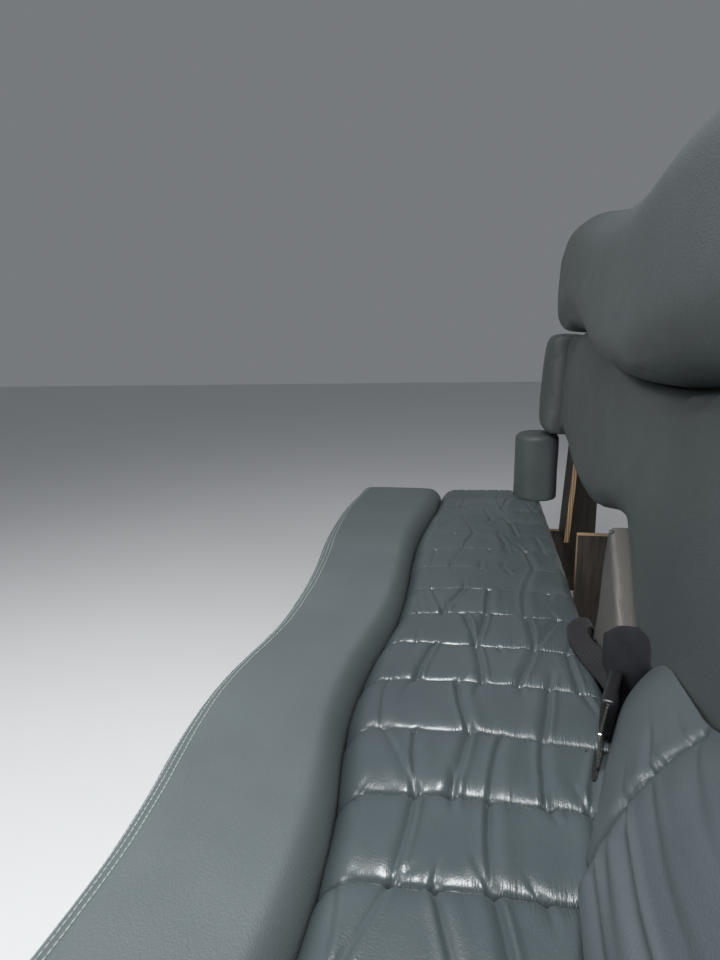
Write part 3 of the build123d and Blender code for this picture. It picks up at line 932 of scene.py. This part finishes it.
# %% [markdown]
# ## The crest of the foot roll
#
# A roll of leather fills the foot of the back. Its crest rises steeply from the seat behind the
# buckle, runs nearly level to its seam and climbs again to its full height. A curve object could
# hold that line, but two pieces need its height at any place, so it is a table and a function.

# %% Lay down the crest
crest_turns = (
    # place along the bench, height above the seat
    (-0.020, 0.010), (0.000, 0.040), (0.025, 0.080), (0.060, 0.105), (0.090, 0.118),
    (0.200, 0.131), (0.230, 0.143), (0.330, 0.186), (half_length, 0.186),
)


def roll_crest(x):
    """Height of the roll's crest, its turns rounded by an average of five places."""
    at, rises = zip(*crest_turns)
    shifts = (-0.012, -0.006, 0.0, 0.006, 0.012)
    return seat_level_z + np.mean([np.interp(x + shift, at, rises) for shift in shifts], axis=0)


print("crest heights:", [round(float(roll_crest(x)), 3) for x in (0.0, 0.1, 0.2, 0.4)])

# %% [markdown]
# ## A loose fold of the ledge's cloth, as painted shade
#
# Where the leaf, the ledge and the tip of the foot roll meet, the ledge's near-black cloth stands up in
# a loose fold against the back, a dark sheet that paints the shade of that corner. Cloth would need all
# three neighbours to fall on, so a flat grid follows their faces instead, swells out between its
# edges, and gets its thickness from Solidify.

# %% Raise the loose fold
fold_start, fold_end = -0.130, 0.050
fold_foot_z = 0.2840
fold_top_z, fold_top_rise, fold_top_drop = 0.326, 0.070, 0.045
fold_stand = 0.064
fold_swell = 0.009

bm = bmesh.new()
bmesh.ops.create_grid(bm, x_segments=60, y_segments=36, size=0.5)
places = points_of(bm)
along, up_share = places[:, 0] + 0.5, places[:, 1] + 0.5
x = fold_start + (fold_end - fold_start) * along
low_z = np.maximum(fold_foot_z, np.where(x > -0.020, roll_crest(x) - 0.006, 0.0))
high_z = fold_top_z + fold_top_rise * np.sin(0.5 * math.pi * np.clip(along * 1.15, 0, 1))
high_z = high_z - fold_top_drop * np.clip((along - 0.78) / 0.22, 0, 1) ** 2
z = low_z + np.maximum(high_z - low_z, 0.004) * up_share
stand = fold_stand - 0.013 * np.clip((x + 0.050) / 0.030, 0, 1)
end_share = np.clip(np.minimum(along, 1 - along) / 0.25, 0, 1)
swell = fold_swell * np.sin(math.pi * np.clip(up_share, 0, 1)) ** 0.6 * end_share
y = board_y(z, stand) - 0.001 - swell - 0.0015 * rough(np.column_stack((x, z, z)), 30.0, 3)
place_points(bm, np.column_stack((x, y, z)))
# A dark sheet as painted shade in the corner by the buckle.
shade_fold = add_piece(bm, "ledge_shade_fold", ledge_leather, "ledge_leather")
wall = shade_fold.modifiers.new("wall", "SOLIDIFY")
wall.thickness, wall.offset = 0.0015, 0.0

# %% [markdown]
# ## The gathered foot roll: its grid
#
# The roll has a long stretch that is gathered on to a curved seam, and beyond the seam a smooth
# gusset that draws out to a point. One grid is laid over both, so that the seam stays closed: one
# way it follows the bench, the other way it goes up the bulging front and down behind.

# %% Lay the roll's grid
roll_start, roll_taper = 1.305, 0.250
seam_x = roll_start - half_length
tip_x = seam_x - roll_taper
tip_depth, full_depth = 0.513, 0.432
tip_bulge, full_bulge = 0.003, 0.024

bm = bmesh.new()
bmesh.ops.create_grid(bm, x_segments=330, y_segments=150, size=0.5)
places = points_of(bm)
along, around = places[:, 0] + 0.5, (places[:, 1] + 0.5) * 1.30
x = np.interp(along, (0.0, 0.12, 0.50, 1.0), (tip_x, seam_x - 0.060, seam_x + 0.035, half_length))
growth = np.clip((x - tip_x) / roll_taper, 0, 1)
front = front_y + tip_depth + (full_depth - tip_depth) * growth
bulge = tip_bulge + (full_bulge - tip_bulge) * growth
crest_z = roll_crest(x)
crest_y = board_y(crest_z, lower_pad_thickness + 0.010 * growth)

q = np.clip(around, 0, 1)
chord = np.column_stack((crest_y - front, crest_z - seat_level_z))
chord_length = np.linalg.norm(chord, axis=1)
print("the roll's front is", round(float(chord_length.max()), 3), "m high at the near end")

# %% [markdown]
# ## The gathered foot roll: its gathers
#
# The gathers run out from the seam and fade, and a few pulls on the smooth side answer them. They
# have the same section as the cushion's pleats, only wider. The photograph shows each of these few
# folds clearly, so two short tables list them, and no random rule is needed.

# %% Fold the gathers
gathers = (
    # start up the seam, reach, depth, lean
    (0.20, 0.24, 0.80, 0.5), (0.31, 0.14, 0.30, -0.2), (0.44, 0.75, 1.00, 0.6),
    (0.62, 0.28, 0.30, 0.4), (0.86, 0.22, 0.35, -0.2),
)
pulls = (
    # start up the seam, depth, drift upwards
    (0.46, 0.30, 0.06), (0.64, 0.85, 0.10), (0.70, 0.50, 0.02), (0.86, 0.40, 0.05),
)
gather_depth, gather_width = 0.0090, 0.0042
pull_depth, pull_width = 0.0050, 0.0045

gathered, valleys = np.zeros(len(x)), np.zeros(len(x))
arc = q * chord_length
seam_chord = float(chord_length[np.argmin(np.abs(x - seam_x))])
from_seam = x - seam_x + 0.024 * np.clip((q - 0.35) / 0.65, 0, 1) ** 1.2
for start, reach, depth, lean in gathers:
    beyond = np.clip(from_seam / reach, 0, 1)
    fade = (1 - beyond) ** 1.3 * np.clip(from_seam / 0.025, 0, 1) ** 0.8
    gap = arc - (start + 0.020 * lean * np.sin(2.2 * beyond)) * seam_chord
    valley = fold_valley(gap / (1 + 1.6 * beyond), gather_width)
    gathered += gather_depth * depth * fade * (fold_shoulders(gap / (1 + 1.2 * beyond), lean) - valley)
    valleys = np.maximum(valleys, valley * fade * depth)
for start, depth, drift in pulls:
    before = np.clip(-from_seam / 0.085, 0, 1)
    fade = (from_seam < 0) * (1 - before) ** 1.6
    gap = arc - (start + drift * before) * chord_length
    valley = fold_valley(gap, pull_width)
    gathered += pull_depth * depth * fade * (fold_shoulders(gap, 0.3) - valley)
    valleys = np.maximum(valleys, valley * fade * depth)
print("deepest gather:", round(-1000 * float(gathered.min()), 1), "mm")

# %% [markdown]
# ## The gathered foot roll: bending it
#
# The grid is now bent into the roll. Each vertex goes up a straight chord from the foot to the crest
# and is pushed outward by the bulge, the gathers and the seam's groove. Past the crest the grid
# runs down behind and under, where it meets its own edge and the double vertices are merged.

# %% Bend the roll and close it
groove_width = np.where(from_seam < 0, 0.0065, 0.050)
groove_power = np.where(from_seam < 0, 1.8, 1.0)
seam_groove = 0.007 * np.exp(-((np.abs(from_seam) / groove_width) ** groove_power))
foot_swell = 0.013 * np.clip(from_seam / 0.03, 0, 1) * np.exp(-((q / 0.30) ** 2))
long_waves = 0.0050 * rough(np.column_stack((x, arc, arc)) * (0.6, 1.0, 1.0), 8.0, 4)
rim_share = np.clip(np.minimum(q, 1 - q) / 0.06, 0, 1)
near_round = 0.020 * np.clip(1 - (half_length - x) / 0.025, 0, 1) ** 2
lift = bulge * 4 * q * (1 - q) + foot_swell - near_round
lift += (gathered + long_waves * growth - seam_groove * growth) * rim_share
tuck = 0.010 * growth * (1 - np.clip(q / 0.08, 0, 1)) ** 2
down, back = (np.clip((around - start) / 0.15, 0, 1) for start in (1.0, 1.15))

heel_y = board_y(seat_level_z, lower_pad_thickness)
y = front + chord[:, 0] * q - chord[:, 1] / chord_length * lift + tuck
y += (heel_y - crest_y) * down + (front - heel_y) * back + tuck * back
z = seat_level_z + chord[:, 1] * q + chord[:, 0] / chord_length * lift - chord[:, 1] * down
place_points(bm, np.column_stack((x, y, z)))

layers = [bm.verts.layers.float.new(name) for name in ("seam", "pucker")]
# The "seam" number also holds the gather valleys, where the roll's leather paints shade.
for vertex, near, folded in zip(bm.verts, np.exp(-np.abs(from_seam) / 0.009), valleys):
    vertex[layers[0]] = max(near, 0.85 * folded)
    vertex[layers[1]] = 0.25 * near
bmesh.ops.remove_doubles(bm, verts=bm.verts, dist=0.0002)
close_rims(bm)
foot_roll = add_piece(bm, "gathered_foot_roll", roll_leather, "roll_leather", "foot_roll")

# %% [markdown]
# ## Metal
#
# Brackets are zinc plated, the belt's tongue is polished steel and the lamps' rims are chrome. A
# fixed roughness makes metal look rendered, so fine marks vary it. The noise is stretched
# differently for each: across the brackets, along the tongue, evenly on the chrome.

# %% Mix the metals
def metal(name, colour, low, high, scale):
    """Bare metal with fine marks that vary its gloss."""
    material, tree, shader = new_material(name)
    marks = noise_at(tree, mapped(tree, scale), 1.0, 4.0, 0.6)
    tone = blend_colours(tree, marks, tuple(0.8 * c for c in colour), colour)
    gloss, scratched = spread(tree, marks, 0.3, 0.7, low, high), bumped(tree, marks, 0.00008)
    feed(tree, shader, Base_Color=tone, Metallic=1.0, Roughness=gloss, Normal=scratched)
    print(name, "roughness:", low, "to", high)
    return material


bracket_steel = metal("bracket_steel", (0.62, 0.62, 0.60), 0.30, 0.50, (60, 400, 60))
belt_steel = metal("belt_steel", (0.72, 0.70, 0.62), 0.14, 0.30, (900, 60, 900))
lamp_chrome = metal("lamp_chrome", (0.78, 0.78, 0.77), 0.06, 0.16, (90, 90, 90))

# %% [markdown]
# ## Plastic and lens
#
# The buckle is black plastic with a fine spark-eroded grain. The lamp's lens is frosted plastic that
# has yellowed. Glass nodes would show an empty lamp behind it, so the lens is opaque and cloudy,
# with moulded ribs in its bump and a thin clear coat on top.

# %% Mix the plastics
buckle_plastic, tree, shader = new_material("buckle_plastic")
fine = noise_at(tree, mapped(tree), 1400.0, 2.0)
black = blend_colours(tree, fine, (0.012, 0.012, 0.013), (0.022, 0.022, 0.024))
gloss = spread(tree, noise_at(tree, mapped(tree), 60.0), 0.3, 0.7, 0.20, 0.30)
feed(tree, shader, Base_Color=black, Roughness=gloss, Normal=bumped(tree, fine, 0.0001))

lamp_lens, tree, shader = new_material("lamp_lens")
cloudy = noise_at(tree, mapped(tree), 90.0)
amber = blend_colours(tree, cloudy, (0.66, 0.60, 0.46), (0.80, 0.75, 0.62))
ribs = node(tree, "ShaderNodeTexWave", Vector=mapped(tree), Scale=260.0, Distortion=0.0)
ribs.bands_direction = "Z"
ribbed = bumped(tree, ribs.outputs["Fac"], 0.0005)
feed(tree, shader, Base_Color=amber, Roughness=0.22, Normal=ribbed, Coat_Weight=0.5)
print("plastics:", buckle_plastic.name, "and", lamp_lens.name)

# %% [markdown]
# ## Webbing
#
# Belt webbing is woven with raised ribs along it and fine picks across it. Real threads would take
# far too many faces, so two waves are multiplied into a bump, and the same waves darken the colour
# between the raised threads as painted shade. A strap that lies straight can read
# object coordinates. The bent one reads its own UV map, stretched to metres.

# %% Weave the webbing
def woven(name, scale, kind):
    """Belt webbing on object or UV coordinates."""
    material, tree, shader = new_material(name)
    vector = mapped(tree, scale, kind)
    threads = []
    for count, distortion, direction in ((60.0, 0.3, "Y"), (160.0, 0.6, "DIAGONAL")):
        bands = node(tree, "ShaderNodeTexWave", Vector=vector, Scale=count, Distortion=distortion)
        bands.bands_direction = direction
        threads.append(bands.outputs["Fac"])
    weave = calculate(tree, "MULTIPLY", *threads)
    # Painted shade: the colour is darker where the weave dips between its raised threads.
    black = blend_colours(tree, weave, (0.008, 0.008, 0.009), (0.026, 0.026, 0.029))
    ribbed = bumped(tree, weave, 0.0005)
    feed(tree, shader, Base_Color=black, Roughness=0.55, Normal=ribbed, Sheen_Weight=0.06)
    return material


strap_length, strap_width = 0.33, 0.046
webbing = woven("webbing", (1, 1, 1), "Object")
strap_webbing = woven("strap_webbing", (strap_length, strap_width, 1.0), "UV")
print("the bent strap is", strap_length, "m long and", strap_width, "m wide")

# %% [markdown]
# ## Carpet
#
# The fascia is covered with cut pile carpet, dirty and worn in patches. Hair could make the pile, but
# from a seat's distance it is only a rough, dull skin. Small cells in the bump are its tufts, a
# slow noise its wear, a fast one its pale flecks, and some sheen lights the ends of the fibres.

# %% Lay out the carpet's finish
carpet, tree, shader = new_material("carpet")
tufts = node(tree, "ShaderNodeTexVoronoi", Vector=mapped(tree), Scale=420.0).outputs["Distance"]
wear = noise_at(tree, mapped(tree), 7.0, 5.0, 0.65)
flecks = spread(tree, noise_at(tree, mapped(tree), 350.0, 2.0), 0.5, 0.75, 0.0, 0.5)
worn = spread(tree, wear, 0.35, 0.7, 0.0, 1.0)
colour = blend_colours(tree, worn, (0.050, 0.044, 0.040), (0.105, 0.092, 0.080))
colour = blend_colours(tree, flecks, colour, (0.17, 0.155, 0.14))
pile = bumped(tree, wear, 0.004, bumped(tree, tufts, 0.0022))
feed(tree, shader, Base_Color=colour, Roughness=0.95, Normal=pile, Sheen_Weight=0.35, Sheen_Roughness=0.5)
print("carpet has", len(tree.nodes), "nodes")

# %% [markdown]
# ## Plywood
#
# The boards are birch plywood stained black before they were cut, a dark finish that also stands in
# as painted shade in the bay under the back. So their faces show long dark grain, and their cut
# edges show the glued plies in raw tan. Two materials on each board would need its faces sorted, so
# one material looks at the way a face points and picks between the two.

# %% Mix the plywood
ply = 0.0030
boards = (
    # name, the axis it is thin along, stretch of its grain
    ("rib_plywood", 0, (26.0, 130.0, 9.0)),
    ("board_plywood", 1, (9.0, 26.0, 130.0)),
    ("deck_plywood", 2, (9.0, 130.0, 26.0)),
)


def along_axis(tree, vector, axis):
    """One part of a vector."""
    return node(tree, "ShaderNodeSeparateXYZ", Vector=vector).outputs[axis]


def plywood(name, axis, stretch):
    """Plywood for boards that are thin along one axis."""
    material, tree, shader = new_material(name)
    grain = noise_at(tree, mapped(tree, stretch), 1.0, 6.0, 0.6)
    dark_face_grain = spread(tree, grain, 0.3, 0.72, 0.0, 1.0)
    # Near-black faces: a black stain that also stands in as painted shade in the bay under the back.
    face = blend_colours(tree, dark_face_grain, (0.020, 0.017, 0.014), (0.060, 0.048, 0.036))
    place = tree.nodes.new("ShaderNodeTexCoord").outputs["Object"]
    layer = calculate(tree, "FRACT", calculate(tree, "DIVIDE", along_axis(tree, place, axis), 2 * ply))
    off_middle = calculate(tree, "ABSOLUTE", calculate(tree, "SUBTRACT", layer, 0.5))
    dark_ply = spread(tree, off_middle, 0.22, 0.28, 0.0, 1.0)
    cut = blend_colours(tree, dark_ply, (0.50, 0.35, 0.20), (0.25, 0.145, 0.07))
    looking = tree.nodes.new("ShaderNodeNewGeometry").outputs["Normal"]
    facing = calculate(tree, "ABSOLUTE", along_axis(tree, looking, axis))
    is_face = spread(tree, facing, 0.6, 0.8, 0.0, 1.0)
    wood = blend_colours(tree, is_face, cut, face)
    feed(tree, shader, Base_Color=wood, Roughness=0.72, Normal=bumped(tree, grain, 0.0006))
    return material


rib_wood, board_wood, deck_wood = (plywood(*row) for row in boards)
print("plies are", 1000 * ply, "mm thick")

# %% [markdown]
# ## Boards, brackets and the belt's hard parts
#
# These solids are already exactly what they should look like, so modelling them again would only
# add faces. They keep their own meshes, and each gets its better material in place of the
# plain one that it was packed with.

# %% Finish the solids that stay
def named(start):
    """The solids whose names start in one way."""
    return [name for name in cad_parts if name.startswith(start)]


finishes = (
    (rib_wood, named("rib_")),
    (board_wood, ["back_board", "rear_sill", "top_rail"]),
    (deck_wood, ["deck"]),
    (bracket_steel, named("floor_bracket_") + named("belt_anchor_")),
    (belt_steel, ["belt_tongue"]),
    (webbing, ["belt_strap_tongue"]),
)
for material, names in finishes:
    for name in names:
        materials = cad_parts[name].data.materials
        materials.clear()
        materials.append(material)
    print(material.name, "is on", len(names), "solids")

# %% [markdown]
# ## The carpeted fascia
#
# The board under the bolster is wrapped in carpet. The carpet hides the whole board, so it is a box
# with rubbed edges in the board's place. It is cut up finely, because a noise then makes its front
# sag a little between its fixings.

# %% Carpet the fascia
fascia_low, fascia_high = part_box("fascia")
bezel_rise = 0.004
carpet_front = fascia_low.y + bezel_rise
carpet_size = Vector((length, fascia_high.y - carpet_front, deck_top_z))
carpet_centre = Vector((0, (carpet_front + fascia_high.y) / 2, deck_top_z / 2))
bm = rounded_box(carpet_size, carpet_centre, 0.004, 3)
cut_along(bm, 0, 1.0, 160)
cut_along(bm, 2, 0.1, 14)
places = points_of(bm)
places[:, 1] -= 0.0014 * rough(places, 16.0, 12) * (places[:, 1] < carpet_centre.y)
place_points(bm, places)
add_piece(bm, "fascia_carpet", carpet, "carpet", "fascia")

# %% [markdown]
# ## The courtesy lamps
#
# Four small round lamps sit in the carpeted board. Each has a pressed chrome rim and a shallow lens
# dome. Rings of faces could be extruded one by one, but both are turned shapes, so a short profile
# of radius and height is spun round the lamp's axis.

# %% Turn the lamps
def turned(profile, centre, segments=40):
    """Spin a profile of (radius, forward) round an axis that points out of the fascia."""
    bm = bmesh.new()
    ring = [bm.verts.new(centre + Vector((radius, -ahead, 0))) for radius, ahead in profile]
    outline = [bm.edges.new(pair) for pair in zip(ring, ring[1:])]
    bmesh.ops.spin(
        bm, geom=ring + outline, cent=centre, axis=(0, 1, 0), angle=2 * math.pi,
        steps=segments, use_merge=True, use_duplicate=False,
    )
    bmesh.ops.remove_doubles(bm, verts=bm.verts, dist=0.00005)
    bmesh.ops.recalc_face_normals(bm, faces=bm.faces)
    return bm


bezel_profile = (
    (0.0243, -0.002), (0.0243, 0.0030), (0.0250, 0.0048), (0.0268, 0.0058),
    (0.0300, 0.0056), (0.0328, 0.0040), (0.0338, 0.0015), (0.0338, -0.001), (0.0243, -0.002),
)
lens_profile = (
    (0.0, 0.0062), (0.0080, 0.0058), (0.0150, 0.0047), (0.0205, 0.0031),
    (0.0238, 0.0012), (0.0240, -0.004), (0.0, -0.004),
)
for number, name in enumerate(sorted(named("lamp_lens_")), start=1):
    low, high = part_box(name)
    centre = Vector(((low.x + high.x) / 2, carpet_front, (low.z + high.z) / 2))
    add_piece(turned(bezel_profile, centre), f"lamp_bezel_{number}", lamp_chrome, "lamp_chrome")
    add_piece(turned(lens_profile, centre), f"lamp_lens_dome_{number}", lamp_lens, "lamp_lens", name)

# %% [markdown]
# ## The belt's webbing
#
# Webbing is stiff across and limp along, so a strap on its edge soon lies down. This one leaves the
# buckle upright, turns over on to the cushion and dives into the crevice to its anchor. A long
# thin grid follows a short table of centres and width directions, and Solidify makes it a strap.

# %% Lay the buckle's strap
strap_route = (
    # share, centre, direction of the width
    (0.00, (-0.0268, 0.1680, 0.3053), (0.0, 0.00, 1.00)),
    (0.25, (-0.0800, 0.1635, 0.3020), (0.0, 0.40, 0.92)),
    (0.50, (-0.1350, 0.1560, 0.2950), (0.0, 0.85, 0.53)),
    (0.66, (-0.1780, 0.1510, 0.2905), (0.1, 0.98, 0.15)),
    (0.77, (-0.2150, 0.1520, 0.2880), (0.5, 0.86, 0.00)),
    (0.86, (-0.2430, 0.1630, 0.2870), (0.9, 0.43, 0.00)),
    (0.92, (-0.2600, 0.1800, 0.2810), (1.0, 0.00, 0.00)),
    (0.95, (-0.2670, 0.1865, 0.2660), (1.0, 0.00, 0.00)),
    (1.00, (-0.2675, 0.1870, 0.1920), (1.0, 0.00, 0.00)),
)
bm = bmesh.new()
bm.loops.layers.uv.new("UVMap")
bmesh.ops.create_grid(bm, x_segments=90, y_segments=6, size=0.5, calc_uvs=True)
places = points_of(bm)
along, shares = places[:, 0] + 0.5, [row[0] for row in strap_route]


def on_route(column):
    """One column of the route at every vertex of the grid."""
    table = np.array([row[column] for row in strap_route])
    return np.column_stack([np.interp(along, shares, values) for values in table.T])


centre, width = on_route(1), on_route(2)
width /= np.linalg.norm(width, axis=1)[:, None]
place_points(bm, centre + width * (places[:, 1] * strap_width)[:, None])
inner = [v for v in bm.verts if not v.is_boundary or len(v.link_edges) == 3]
for _ in range(12):
    bmesh.ops.smooth_vert(bm, verts=inner, factor=0.4, use_axis_x=True, use_axis_y=True, use_axis_z=True)
strap = add_piece(bm, "buckle_strap", strap_webbing, "webbing", "belt_strap_buckle")
wall = strap.modifiers.new("wall", "SOLIDIFY")
wall.thickness, wall.offset = 0.0018, 0.0

# %% [markdown]
# ## The belt buckle
#
# The buckle stands on its edge, in line with the tapered end of the foot roll. It is a moulded
# shell with a push button let into the end where the tongue goes in. Both are boxes with
# generous bevels, made in line with the axes and then turned on to the belt's own line.

# %% Model the buckle
belt_along = Vector((roll_taper, full_depth - tip_depth, 0)).normalized()
belt_out = Vector((belt_along.y, -belt_along.x, 0))
belt_foot_z = 0.2823
belt_origin = Vector((tip_x, front_y + tip_depth - soft_clearance, belt_foot_z))
belt_turn = Matrix((belt_along, Vector((0, 0, 1)), belt_out)).transposed().to_4x4()
buckle_centre = Vector((0.031, 0.025, 0.0075))


def add_belt_part(name, size, centre, offset, segments, *stands_for):
    """A rounded black box, placed on the belt's own line."""
    bm = rounded_box(Vector(size), centre, offset, segments)
    bmesh.ops.transform(bm, matrix=Matrix.Translation(belt_origin) @ belt_turn, verts=bm.verts)
    add_piece(bm, name, buckle_plastic, "buckle_plastic", *stands_for)


add_belt_part("buckle_shell", (0.072, 0.050, 0.015), buckle_centre, 0.0042, 5, "belt_buckle")
button_centre = buckle_centre + Vector((0.0215, 0, 0.0002))
add_belt_part("buckle_button", (0.020, 0.030, 0.0160), button_centre, 0.0018, 3)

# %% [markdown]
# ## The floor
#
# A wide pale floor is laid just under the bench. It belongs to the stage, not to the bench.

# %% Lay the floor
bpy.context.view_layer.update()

bm = bmesh.new()
bmesh.ops.create_grid(bm, x_segments=1, y_segments=1, size=9.0, matrix=Matrix.Translation((0, 0, -0.001)))
mesh = bpy.data.meshes.new("floor")
bm.to_mesh(mesh)
bm.free()
mesh.materials.append(floor_material)
floor = bpy.data.objects.new("floor", mesh)
scene.collection.objects.link(floor)
